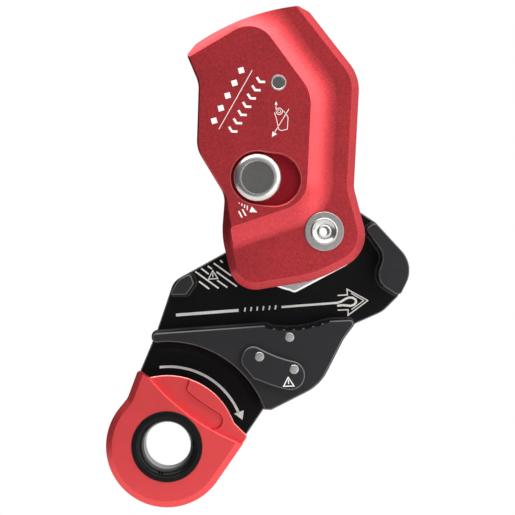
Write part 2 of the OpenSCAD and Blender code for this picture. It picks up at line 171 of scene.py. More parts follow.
def stack(name, levels):
    """A closed solid through outlines of equal length, each given with its height."""
    n = len(levels[0][0])
    verts = [(x, y, h) for points, h in levels for x, y in points]
    faces = [list(range(n)), [(len(levels) - 1) * n + i for i in range(n)]]
    for k in range(len(levels) - 1):
        for i in range(n):
            j = (i + 1) % n
            faces.append([k * n + i, k * n + j, (k + 1) * n + j, (k + 1) * n + i])
    return made(name, verts, faces)


def prism(name, points, low, high):
    return stack(name, [(points, low), (points, high)])


def lathe(name, c, profile, steps):
    """A solid turned about c from a closed profile of (radius, height)."""
    verts = []
    for r, h in profile:
        verts += [(*polar(c, r, 360 * i / steps), h) for i in range(steps)]
    n = len(profile)
    faces = []
    for k in range(n):
        for i in range(steps):
            j = (i + 1) % steps
            m = (k + 1) % n
            faces.append([k * steps + i, k * steps + j, m * steps + j, m * steps + i])
    return made(name, verts, faces)


def disc(c, r, low, high, steps=72):
    return prism("cutter", arc(c, r, 0, 360 - 360 / steps, steps - 1), low, high)


def sector(c, r0, r1, a0, a1, low, high):
    steps = 48
    return prism("cutter", arc(c, r0, a0, a1, steps) + arc(c, r1, a1, a0, steps), low, high)


def combined(obj, others, operation):
    """Applies boolean operations and deletes the other solids."""
    for other in others:
        step = obj.modifiers.new("join", "BOOLEAN")
        step.operation = operation
        step.solver = "EXACT"
        step.object = other
    graph = bpy.context.evaluated_depsgraph_get()
    mesh = bpy.data.meshes.new_from_object(obj.evaluated_get(graph))
    obj.modifiers.clear()
    obj.data = mesh
    for other in others:
        bpy.data.objects.remove(other)
    return obj


def cut(obj, *cutters):
    return combined(obj, cutters, "DIFFERENCE")


def joined(obj, *others):
    return combined(obj, others, "UNION")


def kept_within(obj, other):
    return combined(obj, [other], "INTERSECT")


def edged(name, corners, low, high, wide, foot=0.0):
    """A machined block: small chamfer on the top edge, a fillet of radius foot at its base."""
    levels = []
    if foot:
        steps = 5
        for k in range(steps + 1):
            t = math.radians(90 * k / steps)
            out = foot * (1 - math.sin(t))
            levels.append(level(corners, -out, low + foot * (1 - math.cos(t))))
    else:
        levels.append(level(corners, 0, low))
    levels.append(level(corners, 0, high - wide))
    levels.append(level(corners, wide, high))
    return stack(name, levels)


def top_edge(material, top, deep=0.65):
    """The band that holds the chamfer under a top face, where a pale material paints the chamfer's highlight.
    """
    return (material, top - deep, top + 0.01)


def dressed(obj, material, body, slot, *nodes, angle=28, edges=(), floors=()):
    """Gives a piece its shading, materials, body and the nodes that it stands for.

    edges and floors list (material, low, high) for its slanted and its flat faces in a band of
    heights. Where bands overlap, the later one counts."""
    bands = (*edges, *floors)
    mesh = obj.data
    mesh.materials.clear()
    mesh.materials.append(material)
    for one, low, high in bands:
        mesh.materials.append(one)
    for face in mesh.polygons:
        face.use_smooth = True
        face.material_index = 0
        heights = [REAR - mesh.vertices[v].co.y / MM for v in face.vertices]
        lean = abs(face.normal.y)
        for i, (one, low, high) in enumerate(bands):
            fits = SLANTED[0] < lean < SLANTED[1] if i < len(edges) else lean > FLAT
            if fits and low < min(heights) and max(heights) < high:
                face.material_index = i + 1
    mesh.set_sharp_from_angle(angle=math.radians(angle))
    weighted = obj.modifiers.new("weighted", "WEIGHTED_NORMAL")
    weighted.keep_sharp = True
    weighted.weight = 100
    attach(obj, body)
    if nodes:
        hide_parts(*nodes)
    return obj


# ---- materials ----
def surface(name, colour, deep, rough, grain, bump, metal=1.0, brushed=None, coat=0.0, gloss=0.5):
    """A metal surface whose colour, roughness and relief vary in a fine grain and a broad cloud.

    brushed stretches the grain by a factor along each axis."""
    material = bpy.data.materials.new(name)
    material.use_nodes = True
    tree = material.node_tree
    tree.nodes.clear()
    out = tree.nodes.new("ShaderNodeOutputMaterial")
    shader = tree.nodes.new("ShaderNodeBsdfPrincipled")
    shader.inputs["Metallic"].default_value = metal
    shader.inputs["Coat Weight"].default_value = coat
    shader.inputs["Coat Roughness"].default_value = 0.32
    shader.inputs["Coat IOR"].default_value = 1.6
    shader.inputs["Specular IOR Level"].default_value = gloss
    place = tree.nodes.new("ShaderNodeTexCoord")
    fine = tree.nodes.new("ShaderNodeTexNoise")
    fine.inputs["Scale"].default_value = grain
    fine.inputs["Detail"].default_value = 3
    broad = tree.nodes.new("ShaderNodeTexNoise")
    broad.inputs["Scale"].default_value = 60
    broad.inputs["Detail"].default_value = 2
    vector = place.outputs["Object"]
    if brushed:
        stretch = tree.nodes.new("ShaderNodeMapping")
        stretch.inputs["Scale"].default_value = brushed
        tree.links.new(place.outputs["Object"], stretch.inputs["Vector"])
        vector = stretch.outputs["Vector"]
    tree.links.new(vector, fine.inputs["Vector"])
    tree.links.new(place.outputs["Object"], broad.inputs["Vector"])
    ramp = tree.nodes.new("ShaderNodeValToRGB")
    ramp.color_ramp.elements[0].position = 0.3
    ramp.color_ramp.elements[0].color = (*deep, 1)
    ramp.color_ramp.elements[1].position = 0.7
    ramp.color_ramp.elements[1].color = (*colour, 1)
    tree.links.new(fine.outputs["Fac"], ramp.inputs["Fac"])
    tree.links.new(ramp.outputs["Color"], shader.inputs["Base Color"])
    spread = tree.nodes.new("ShaderNodeMapRange")
    spread.inputs["To Min"].default_value = rough - 0.05
    spread.inputs["To Max"].default_value = rough + 0.06
    tree.links.new(broad.outputs["Fac"], spread.inputs["Value"])
    tree.links.new(spread.outputs["Result"], shader.inputs["Roughness"])
    relief = tree.nodes.new("ShaderNodeBump")
    relief.inputs["Strength"].default_value = bump
    relief.inputs["Distance"].default_value = 0.0002
    tree.links.new(fine.outputs["Fac"], relief.inputs["Height"])
    tree.links.new(relief.outputs["Normal"], shader.inputs["Normal"])
    tree.links.new(shader.outputs["BSDF"], out.inputs["Surface"])
    return material


# anodised reds: the cover's red, and lighter, pale and dark copies of it that paint light, highlight and
# shade
red = surface("red_anodised", (0.66, 0.04, 0.052), (0.43, 0.022, 0.034), 0.4,
              grain=1500, bump=0.12, coat=0.55)
# a lighter copy of the red for the cheek: painted light
cheek_red_painted_light = surface("red_anodised_cheek_painted_light", (0.86, 0.07, 0.08), (0.74, 0.052, 0.062), 0.4,
                    grain=2200, bump=0.08, metal=0.85, coat=0.5)
# a pale red on chamfered edges: painted highlight
red_edge_highlight = surface("red_painted_edge_highlight", (1.0, 0.36, 0.34), (0.9, 0.2, 0.2), 0.35,
                   grain=1800, bump=0.06, coat=1.0)
# a dark red in the button's recess and on the cheek slot's rim: painted shade
red_painted_shade = surface("red_shaded_recess", (0.36, 0.018, 0.03), (0.26, 0.012, 0.02), 0.45,
                   grain=1500, bump=0.12)
# anodised blacks
black = surface("black_anodised", (0.012, 0.012, 0.016), (0.005, 0.005, 0.008), 0.48,
                grain=2400, bump=0.1, metal=0.2, gloss=0.4)
# a darker, duller copy of the black for the rope channels' floor and the wall's foot: painted shade
floor_black_painted_shade = surface("black_anodised_floor_painted_shade", (0.005, 0.005, 0.006), (0.002, 0.002, 0.003), 0.42,
                      grain=2400, bump=0.08, metal=0.3, gloss=0.16)
# a grey on chamfered edges: painted highlight
black_edge_highlight = surface("black_painted_edge_highlight", (0.15, 0.15, 0.16), (0.08, 0.08, 0.09), 0.5,
                     grain=1800, bump=0.06, metal=0.5)
ring_black = surface("black_ring", (0.008, 0.008, 0.01), (0.004, 0.004, 0.005), 0.32,
                     grain=1800, bump=0.05, metal=0.3, gloss=0.2)
# bare metals
steel = surface("brushed_steel", (0.8, 0.8, 0.8), (0.74, 0.74, 0.74), 0.28,
                grain=900, bump=0.02, brushed=(1, 1, 8))
# a darker copy of the steel for flat faces that face the front: painted dark reflection
steel_painted_dark = surface("brushed_steel_painted_dark_reflection", (0.25, 0.25, 0.25), (0.17, 0.17, 0.17), 0.34,
                     grain=900, bump=0.05, brushed=(9, 1, 1))
polished = surface("polished_steel", (0.64, 0.64, 0.64), (0.57, 0.57, 0.57), 0.27, grain=1200, bump=0.01)
rivet_steel = surface("rivet_steel", (0.6, 0.6, 0.6), (0.54, 0.54, 0.54), 0.27, grain=1200, bump=0.01)
satin = surface("satin_steel", (0.5, 0.5, 0.51), (0.38, 0.38, 0.39), 0.38, grain=1400, bump=0.06)
alloy = surface("turned_alloy", (0.7, 0.7, 0.72), (0.6, 0.6, 0.62), 0.3,
                grain=1000, bump=0.05, brushed=(1, 9, 1))
bronze = surface("oiled_bronze", (0.5, 0.33, 0.14), (0.38, 0.24, 0.1), 0.4, grain=1600, bump=0.06)
# printed marks
paint = surface("white_mark", (0.85, 0.85, 0.85), (0.72, 0.72, 0.72), 0.6, grain=2500, bump=0.05, metal=0.0)

CAD_MATERIALS = {
    "jaw_screws": satin, "guide_screws": satin, "rear_washer": satin,
    "thrust_washers": bronze, "cam_stop_pin": satin, "hub_axle": polished, "hub_spacers": satin,
    "bearing_inner_race": polished, "bearing_outer_race": polished, "bearing_balls": polished,
    "cam_bushing": bronze, "cam_spring": steel, "cover_bushing": bronze, "latch_spring": steel,
    "pawl_detent_spring": steel, "latch_lever": satin, "button_rivet": satin, "latch_pawl": satin,
    "rear_hub_ring": ring_black, "sheave": alloy,
}
for node, material in CAD_MATERIALS.items():
    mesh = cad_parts[node].data
    mesh.materials.clear()
    mesh.materials.append(material)

# ---- outlines, clockwise, corners as (x, y, radius) ----
HUB_SIDE = arc_corners(HUB, CHEEK_R, -37, -221, 60) + [(-18.9, 23.2, 8)]
PLATE_CORNERS = [
    (2.3, 79.0, 9), (80, 122, 16), (101.4, 107.6, 4), (119.8, 86.6, 14), (112.0, 71.2, 4),
    (104.8, 64.0, 14), (86.2, 55.8, 12), (73.5, 28.4, 22), (49.8, 16.6, 1.5), (46.9, 17.0, 1.2),
] + arc_corners(HUB, CHEEK_R, -33, -221, 60) + [(-18.9, 23.2, 8), (-13.6, 36.2, 12), (-6.2, 53.8, 12)]
JAW_CORNERS = [
    (-7.4, 53.8, 2.2), (47.4, 57.7, 1.0), (50.3, 56.4, 0.4),
] + arc_corners(SCALLOP_CENTRE, 49.2, 262.5, 288.5, 24) + [
    (78.4, 59.9, 1.2), (91.6, 60.5, 1.8), (84.6, 51.2, 15), (73.2, 28.8, 22),
    (49.9, 17.0, 1.6), (46.8, 17.1, 1.3),
] + arc_corners(HUB, JAW_WALL_R, 23.6, 96.5, 48) + [(-7.4, 49.3, 2.0)]
KEEPER_CORNERS = [(38.4, 49.8, 5.2)] + arc_corners(PIVOT, 64.1, 244, 255, 8) + [
    (67.0, 39.4, 7), (65.2, 25.4, 7),
] + arc_corners(PIVOT, 78.2, 256, 246, 8) + [(41.6, 31.9, 3), (34.9, 40.2, 5)]
LEFT_GUIDE = [(1.0, 72.4, 1.0), (4.9, 79.6, 8), (10.9, 83.0, 1.8), (12.7, 77.8, 1.6), (8.9, 72.5, 0.8)]
RIGHT_GUIDE = [
    (100.2, 107.6, 2.2), (119.4, 86.8, 14), (112.1, 71.6, 2.5),
    (100.0, 79.2, 8), (104.9, 91.5, 8), (95.6, 104.3, 1.8),
]
CHEEK_CORNERS = [(-13.9, 36.7, 1.3), (-9.8, 33.6, 1.6)] + arc_corners(HUB, 33.8, 104, 25, 40) + [
    (32.2, 10.9, 3), (38.7, 4.5, 1.6),
] + HUB_SIDE
# Some corners of the raised cheek, the flange and the housing lie past the real outline, which
# then cuts these solids.
RAISED_CORNERS = [(-10.2, 46.7, 0), (50, 40, 0), (44.4, 12.7, 0)] + HUB_SIDE
COVER_CORNERS = [
    (68.3, 208.2, 2.5), (92.4, 177.4, 20), (89.6, 124.0, 12), (97.7, 92.8, 16), (72.0, 79.8, 50),
    (32.6, 73.1, 13), (26.2, 101, 40), (27.7, 120.3, 12), (14.2, 142.4, 14), (15.2, 174, 15),
    (9.6, 187.2, 1.6), (13.6, 192.4, 2),
] + arc_corners(PIVOT, COVER_R, 122.6, 96.6, 24)
FLANGE_CORNERS = [(63.4, 214.5, 0)] + COVER_CORNERS[1:10] + [(5.7, 196.4, 0), (5.7, 214.5, 0)]
BOSS_TOP_CORNERS = [(-4, 177.2, 0), (42.8, 204.9, 13), (69.0, 169.0, 18), (66.6, 117.0, 14), (-4, 93.4, 0)]
BOSS_SIDE_CORNERS = COVER_CORNERS[:5] + [(35.2, 79.0, 8), (31.2, 98.5, 10)] + COVER_CORNERS[7:]
BOSS_BASE_CORNERS = [(-4, 189, 0), (49.5, 219.5, 13), (82.6, 174, 20), (80.2, 109.5, 24), (-4, 79.9, 0)]
CAVITY_CORNERS = [
    (46, 182, 4), (62.4, 182, 4), (62.0, 119.0, 4), (35.8, 119.0, 4),
    (36.4, 137, 2), (29.5, 146, 2), (17.8, 141.5, 1), (18.2, 152, 4), (38, 172, 6),
]
ARM_ROOM_CORNERS = [(36.4, 150, 1), (36.4, 130, 1), (28.2, 132.2, 2), (17.4, 141.2, 1), (17.6, 150, 1)]
CHEEK_SLOT_CORNERS = arc_corners(PIVOT, LEDGE_WALL_R, 205, 239, 48) + arc_corners(
    polar(PIVOT, 105.2, 239.8), 3.9, 245, 415, 20) + arc_corners(PIVOT, 101.3, 239.8, 231, 12) + [
    (*polar(PIVOT, 101.3, 229), 2.5), (*polar(PIVOT, 92, 226.4), 0), (*polar(PIVOT, 92, 205), 0),
]
CAM_CORNERS = [
    (36.0, 92.6, 3), (60.0, 117.6, 12), (80.0, 121.5, 14), (93.0, 106.0, 12),
    (89.2, 88.2, 9), (61.2, 73.4, 2.6),
] + [(*polar(PIVOT, 32.6 + 0.19 * (241.5 - a), a), 0) for a in range(240, 198, -2)]


# ---- black frame pieces ----
def back_plate():
    plate = stack("back_plate_body", [
        level(PLATE_CORNERS, 0.8, 0), level(PLATE_CORNERS, 0, 0.8),
        level(PLATE_CORNERS, 0, PLATE - 0.6), level(PLATE_CORNERS, 0.6, PLATE)])
    plate = cut(plate, disc(HUB, HUB_HOLE_R, -1, PLATE + 1), disc(PIVOT, AXLE_R, -1, PLATE + 1))
    # the chamfer under the front face gets a painted highlight, the flat front face (the rope channels'
    # floor) a darker black as painted shade
    dressed(plate, black, "frame", "black_anodised", "back_plate",
            edges=[top_edge(black_edge_highlight, PLATE)],
            floors=[(floor_black_painted_shade, PLATE - 0.05, PLATE + 0.05)])


def jaw_block():
    block = edged("jaw_block_body", JAW_CORNERS, PLATE, JAW_TOP, 0.55, foot=1.2)
    scallops = []
    for k in range(-3, 4):
        place = polar(SCALLOP_CENTRE, 47, 276 + 5.45 * k)
        scallops.append(disc(place, 3.2, PLATE + 2.4, JAW_TOP + 1))
    # the chamfer under the top face gets a painted highlight
    dressed(cut(block, *scallops), black, "frame", "black_anodised", "jaw_block",
            edges=[top_edge(black_edge_highlight, JAW_TOP)])


def jaw_wall_fillet():
    """A rope-shaped fillet at the foot of the concave wall, in a darker black: painted shade."""
    bead = 5.6
    inside = JAW_WALL_R + 0.4
    profile = [(inside, PLATE - 0.2)]
    for k in range(11):
        t = math.radians(9 * k)
        profile.append((JAW_WALL_R - bead + bead * math.sin(t), PLATE + bead * (1 - math.cos(t))))
    profile.append((inside, PLATE + bead))
    steps = 60
    verts = [(*polar(HUB, r, 24.6 + 71.4 * i / steps), h) for i in range(steps + 1) for r, h in profile]
    n = len(profile)
    faces = [list(range(n)), [steps * n + k for k in range(n)]]
    for i in range(steps):
        for k in range(n):
            m = (k + 1) % n
            faces.append([i * n + k, i * n + m, (i + 1) * n + m, (i + 1) * n + k])
    dressed(made("jaw_wall_fillet", verts, faces), floor_black_painted_shade, "frame", "black_anodised")


def guides():
    for name, corners in (("left_rope_guide", LEFT_GUIDE), ("right_rope_guide", RIGHT_GUIDE)):
        block = edged(name + "_body", corners, PLATE, JAW_TOP, 0.5, foot=1.3)
        inner = prism("cutter", rounded(inset(PLATE_CORNERS, 0.3)), *THROUGH)
        # the chamfer under the top face gets a painted highlight
        dressed(kept_within(block, inner), black, "frame", "black_anodised", name,
                edges=[top_edge(black_edge_highlight, JAW_TOP)])


def keeper():
    plate = edged("latch_keeper_body", KEEPER_CORNERS, JAW_TOP, KEEPER_TOP, 0.6)
    # the chamfer under the top face gets a painted highlight
    dressed(plate, black, "frame", "black_anodised", "latch_keeper",
            edges=[top_edge(black_edge_highlight, KEEPER_TOP)])


def flush_pin(name, at, top):
    """A rivet with a flat head behind the plate and a low crown in front."""
    return lathe(name, at, [
        (0, -1), (3.6, -1), (4.05, -0.6), (4.05, 0), (PIN_R, 0), (PIN_R, top),
        (PIN_R - 0.25, top + 0.22), (PIN_R - 0.5, top + 0.26), (0, top + 0.2)], 48)


def flush_pins():
    pins = [flush_pin("keeper_pin_heads", at, KEEPER_TOP) for at in KEEPER_PINS]
    dressed(joined(*pins), satin, "frame", "steel", "keeper_rivets")
    dressed(flush_pin("jaw_pin_head", JAW_PIN, JAW_TOP), satin, "frame", "steel", "jaw_rivet")


# ---- hub ----
def under_cover(r):
    """The area that the closed cover takes at the hub, out to r from the main pivot."""
    return arc(PIVOT, r, 200, 262, 120) + [(75, 60)]


def raised_cheek():
    plate = stack("front_cheek_body", [
        level(RAISED_CORNERS, 0.6, CHEEK_LOW), level(RAISED_CORNERS, 0, CHEEK_LOW + 0.6),
        level(RAISED_CORNERS, 0, FLANGE_TOP - 2.2), level(RAISED_CORNERS, 0.5, FLANGE_TOP - 1.6),
        level(RAISED_CORNERS, 2.8, FLANGE_TOP - 0.15), level(RAISED_CORNERS, 3.2, FLANGE_TOP)])
    plate = kept_within(plate, prism("cutter", rounded(inset(CHEEK_CORNERS, -0.01)), *THROUGH))
    return cut(plate, stack("cutter", [
        (under_cover(LEDGE_WALL_R), 0), (under_cover(LEDGE_WALL_R), FLANGE_TOP - 0.45),
        (under_cover(LEDGE_WALL_R + 0.5), FLANGE_TOP + 0.05)]))


def cheek_ledge():
    ledge = edged("cutter", CHEEK_CORNERS, CHEEK_LOW, LEDGE_TOP, 0.4)
    ledge = kept_within(ledge, prism("cutter", under_cover(LEDGE_WALL_R + 1.5), *THROUGH))
    slot_wall = rounded(CHEEK_SLOT_CORNERS)
    return cut(ledge, stack("cutter", [
        (slot_wall, SLOT_FLOOR - 0.7), (slot_wall, LEDGE_TOP - 0.6),
        level(CHEEK_SLOT_CORNERS, 0.4, LEDGE_TOP + 0.01)]))


def cheek():
    raised = raised_cheek()
    ledge = cheek_ledge()
    slot_floor = edged("cutter", inset(CHEEK_CORNERS, 0.02), CHEEK_LOW + 0.02, SLOT_FLOOR, 0.4)
    body = cut(joined(raised, ledge, slot_floor), disc(HUB, HUB_HOLE_R, *THROUGH, 96))
    # the cheek's red is a lighter copy, painted light; the slot's rim gets painted shade, the ledge's and the
    # slot floor's outer edges a painted highlight
    dressed(body, cheek_red_painted_light, "frame", "red_anodised", "front_cheek", edges=[
        (red_painted_shade, LEDGE_TOP - 0.65, LEDGE_TOP + 0.02),
        top_edge(red_edge_highlight, LEDGE_TOP, 0.45), top_edge(red_edge_highlight, SLOT_FLOOR, 0.45)])


def front_ring():
    mouth = 14.4
    narrowing = 3.0
    lip = 29.0
    depth = 8.6
    funnel = []
    steps = 12
    for k in range(steps + 1):
        t = math.radians(90 * k / steps)
        funnel.append((mouth - narrowing * math.sin(t), lip - depth * (1 - math.cos(t)) ** 1.4))
    profile = [(HUB_HOLE_R, CHEEK_LOW), (HUB_HOLE_R, FLANGE_TOP), (17, FLANGE_TOP), (17, 28.9),
               (16.7, 29.25), (14.75, 29.3), (14.6, 29.1)] + funnel
    ring = lathe("front_hub_ring_body", HUB, profile, 128)
    dimples = [disc(polar(HUB, 12.9, a), 0.5, 26, 30, 16) for a in (136, 142, 254, 260, 5, 11)]
    dressed(cut(ring, *dimples), ring_black, "frame", "black_anodised", "front_hub_ring")


# ---- cover ----
def kidney(r):
    """The area that a disc of radius r sweeps as the button turns about the latch's pivot."""
    near = polar(LATCH_PIVOT, BUTTON_ARM, BUTTON_ANGLE)
    far = polar(LATCH_PIVOT, BUTTON_ARM, BUTTON_ANGLE + BUTTON_TURN)
    lean = BUTTON_ANGLE - 90
    points = arc(far, r, lean + BUTTON_TURN + 180 + 90, lean + BUTTON_TURN + 180 - 90, 28)
    points += arc(LATCH_PIVOT, BUTTON_ARM + r, BUTTON_ANGLE + BUTTON_TURN - 1, BUTTON_ANGLE + 1, 8)
    points += arc(near, r, lean + 90, lean - 90, 28)
    points += arc(LATCH_PIVOT, BUTTON_ARM - r, BUTTON_ANGLE + 1, BUTTON_ANGLE + BUTTON_TURN - 1, 8)
    return points


def along_pawl(r0, r1, half):
    """A rectangle along the pawl's line, from r0 to r1 from the main pivot."""
    ends = []
    for r, s in ((r0, half), (r1, half), (r1, -half), (r0, -half)):
        ends.append(polar(polar(PIVOT, r, PAWL_ANGLE), s, PAWL_ANGLE + 90))
    return ends


def cover_flange():
    n = COVER_STEPS
    flange = stack("swing_cover_body", [
        level(FLANGE_CORNERS, 0.7, COVER_LOW, n), level(FLANGE_CORNERS, 0, COVER_LOW + 0.7, n),
        level(FLANGE_CORNERS, 0, FLANGE_TOP - 3.2, n), level(FLANGE_CORNERS, 0.5, FLANGE_TOP - 2.6, n),
        level(FLANGE_CORNERS, 3.3, FLANGE_TOP - 0.12, n), level(FLANGE_CORNERS, 3.8, FLANGE_TOP, n)])
    return kept_within(flange, prism("cutter", rounded(inset(COVER_CORNERS, -0.01), n), *THROUGH))


def latch_housing():
    """The raised middle of the cover. Its slope is a parabola from the flange to the flat top."""
    foot = FLANGE_TOP - 0.02
    levels = [(rounded(BOSS_BASE_CORNERS, 24), COVER_LOW + 2)]
    steps = 16
    for k in range(steps + 1):
        t = k / steps
        outline = rounded(mixed(BOSS_BASE_CORNERS, BOSS_TOP_CORNERS, t), 24)
        levels.append((outline, foot + (BOSS_TOP - foot) * t * t))
    n = COVER_STEPS
    side = stack("cutter", [
        level(BOSS_SIDE_CORNERS, 0.15, COVER_LOW + 1, n), level(BOSS_SIDE_CORNERS, 0.15, BOSS_TOP - 1.0, n),
        level(BOSS_SIDE_CORNERS, 0.9, BOSS_TOP + 0.01, n), level(BOSS_SIDE_CORNERS, 1.0, ABOVE, n)])
    return kept_within(stack("cutter", levels), side)


def cover_cutters():
    tongue = sector(PIVOT, 101.8, COVER_R - 0.05, 97, 116.5, SLOT_FLOOR + 0.4, LEDGE_TOP + 2)
    over_ledge = cut(sector(PIVOT, 93.3, 112, 80, 140, 0, LEDGE_TOP + 0.35), tongue)
    over_keeper = sector(PIVOT, 63.6, 78.8, 111, 156, 0, KEEPER_TOP + 0.4)
    recess = stack("cutter", [
        (kidney(RECESS_R - 0.3), RECESS_FLOOR), (kidney(RECESS_R), RECESS_FLOOR + 0.3),
        (kidney(RECESS_R), BOSS_TOP - 0.45), (kidney(RECESS_RIM_R), BOSS_TOP + 0.1),
        (kidney(RECESS_RIM_R), ABOVE)])
    return [
        disc(PIVOT, BUSHING_R, *THROUGH),
        disc(PIVOT, WASHER_R + 0.4, FLANGE_TOP, ABOVE),
        disc(LATCH_PIVOT, 2.2, *THROUGH),
        disc(LATCH_PIVOT, 3.85, BOSS_TOP - 2, ABOVE),
        over_ledge,
        over_keeper,
        prism("cutter", rounded(CAVITY_CORNERS, 6), 0, CAVITY_TOP),
        prism("cutter", rounded(ARM_ROOM_CORNERS, 4), 24.3, CAVITY_TOP),
        prism("cutter", along_pawl(51, 68.4, 3.3), 0, CAVITY_TOP),
        recess,
        prism("cutter", kidney(3.4), *THROUGH),
    ]


def cover():
    body = cut(joined(cover_flange(), latch_housing()), *cover_cutters())
    # the recess floor gets a dark red: painted shade
    dressed(body, red, "cover", "red_anodised", "swing_cover", angle=24,
            floors=[(red_painted_shade, RECESS_FLOOR - 0.2, RECESS_FLOOR + 0.2)])


def recess_rim_highlight():
    """A painted highlight round the button's recess: a pale strip on its rim."""
    rim = stack("recess_rim_highlight", [(kidney(RECESS_R), BOSS_TOP - 0.45), (kidney(RECESS_RIM_R), BOSS_TOP + 0.03)])
    inner = stack("cutter", [
        (kidney(RECESS_R - 0.15), BOSS_TOP - 1), (kidney(RECESS_RIM_R - 0.15), BOSS_TOP + 0.04)])
    dressed(cut(rim, inner), red_edge_highlight, "cover", "red_anodised")


def latch_button():
    low = RECESS_FLOOR + 0.3
    dish = BOSS_TOP + 1.5
    profile = [(1.6, 27.2), (3, 27.2), (3, low), (11.3, low), (11.5, low + 0.2), (11.5, low + 2.5)]
    for k in range(13):
        t = math.radians(7.5 * k)
        profile.append((8.1 + 3.4 * math.cos(t), low + 2.7 + 2.2 * math.sin(t)))
    profile += [(7.9, dish + 0.1), (7.7, dish), (0, dish - 0.02), (0, dish - 0.08), (1.6, dish - 0.08)]
    button = lathe("latch_button_body", polar(LATCH_PIVOT, BUTTON_ARM, BUTTON_ANGLE), profile, 128)
    # the dish's flat centre gets a darker steel: painted dark reflection
    dressed(button, polished, "latch", "steel", "latch_button", angle=40,
            floors=[(steel_painted_dark, dish - 0.05, dish + 0.02)])


def latch_pivot_head():
    pin = lathe("latch_pivot_head", LATCH_PIVOT, [
        (0, 22.4), (3.6, 22.4), (3.6, 23.7), (2.2, 23.7), (2.2, BOSS_TOP - 2), (3.8, BOSS_TOP - 2),
        (3.8, BOSS_TOP + 0.1), (3.55, BOSS_TOP + 0.35), (3.2, BOSS_TOP + 0.4), (2.9, BOSS_TOP + 0.2),
        (0, BOSS_TOP + 0.18)], 72)
    # the head's flat centre gets a darker steel: painted dark reflection
    dressed(pin, satin, "cover", "steel", "latch_pivot_pin",
            floors=[(steel_painted_dark, BOSS_TOP + 0.15, BOSS_TOP + 0.3)])


# ---- main pivot ----
def pivot_washer():
    low = FLANGE_TOP + 0.3
    washer = lathe("pivot_washer_body", PIVOT, [
        (AXLE_R, low), (WASHER_R - 0.25, low), (WASHER_R, low + 0.2), (WASHER_R, low + 0.65),
        (WASHER_R - 0.25, low + 0.88), (WASHER_R - 0.75, low + 0.9), (AXLE_R, low + 0.9)], 128)
    dressed(washer, satin, "frame", "steel", "pivot_washer")


def pivot_axle():
    """A hollow rivet. Its head rolls over from the rim into a dish with a raised lip."""
    low = FLANGE_TOP + 0.3
    top = low + 0.9
    bore = 2.4
    head = [(bore, -2), (6.4, -2), (7.2, -1), (AXLE_R, -1), (AXLE_R, PLATE), (6, PLATE), (6, low),
            (AXLE_R, low), (AXLE_R, top), (6.55, top)]
    for k in range(9):
        t = math.radians(15 * k)
        head.append((5.8 + 0.75 * math.cos(t), top + 0.8 * math.sin(t)))
    steps = 8
    for k in range(1, steps + 1):
        t = k / steps
        head.append((5.43 - 2.2 * t, top + 0.65 - 0.95 * math.sin(math.radians(90 * t))))
    head += [(3.0, top - 0.2), (2.8, top + 0.05), (2.6, top + 0.15), (bore, top + 0.1),
             (bore - 0.15, top - 0.1), (bore, top - 1)]
    axle = lathe("pivot_axle_body", PIVOT, head, 128)
    dressed(axle, rivet_steel, "frame", "steel", "pivot_axle", angle=60)


def cam_piece():
    body = stack("cam_body", [
        level(CAM_CORNERS, 0.5, 7.2), level(CAM_CORNERS, 0, 7.7),
        level(CAM_CORNERS, 0, 19.0), level(CAM_CORNERS, 0.9, 19.5)])
    body = joined(body, disc(PIVOT, 11, 6.9, 19.8))
    # the slot for the stop pin is a curved one with round ends
    stop_r = 13.6
    half = 2.3
    start, end = 62, 100
    cutters = [
        disc(PIVOT, BUSHING_R, *THROUGH), disc(PIVOT, 11.2, 0, 10.6),
        sector(PIVOT, stop_r - half, stop_r + half, start, end, *THROUGH),
        disc(polar(PIVOT, stop_r, end), half, *THROUGH), disc(polar(PIVOT, stop_r, start), half, *THROUGH),
    ]
    dressed(cut(body, *cutters), steel, "cam", "steel", "cam")


# ---- markings: thin raised lines ----
def stroke(points, width, closed=False):
    """The outline of a line with mitred bends, or the two outlines of a closed one."""
    count = len(points)
    left, right = [], []
    for i, p in enumerate(points):
        before = points[i - 1] if i or closed else None
        after = points[(i + 1) % count] if i < count - 1 or closed else None
        a = unit(p[0] - before[0], p[1] - before[1]) if before else unit(after[0] - p[0], after[1] - p[1])
        b = unit(after[0] - p[0], after[1] - p[1]) if after else a
        k = width / 2 / max(0.35, 1 + a[0] * b[0] + a[1] * b[1])
        shift = (-(a[1] + b[1]) * k, (a[0] + b[0]) * k)
        left.append((p[0] + shift[0], p[1] + shift[1]))
        right.append((p[0] - shift[0], p[1] - shift[1]))
    return [(left, right)] if closed else [left + right[::-1]]


def marking(name, shapes, height, body):
    """Flat marks 0.05 mm proud of a face. A shape is one outline, or a pair of them for a ring."""
    verts, faces = [], []
    for shape in shapes:
        start = len(verts)
        loops = shape if isinstance(shape, tuple) else (shape,)
        n = len(loops[0])
        for h in (height - 0.02, height + 0.05):
            verts += [(x, y, h) for loop in loops for x, y in loop]
        up = n * len(loops)
        for k in range(len(loops)):
            at = start + k * n
            faces += [[at + i, at + (i + 1) % n, at + up + (i + 1) % n, at + up + i] for i in range(n)]
        for at in (start, start + up):
            if len(loops) == 1:
                faces.append([at + i for i in range(n)])
            else:
                faces += [[at + i, at + (i + 1) % n, at + n + (i + 1) % n, at + n + i] for i in range(n)]
    piece = made(name, verts, faces)
    slot = "black_anodised" if body == "frame" else "red_anodised"
    dressed(piece, paint, body, slot)


def diamond(c, along, reach):
    x, y = c
    ux, uy = along
    return [(x + ux * reach, y + uy * reach), (x - uy * reach, y + ux * reach),
            (x - ux * reach, y - uy * reach), (x + uy * reach, y - ux * reach)]


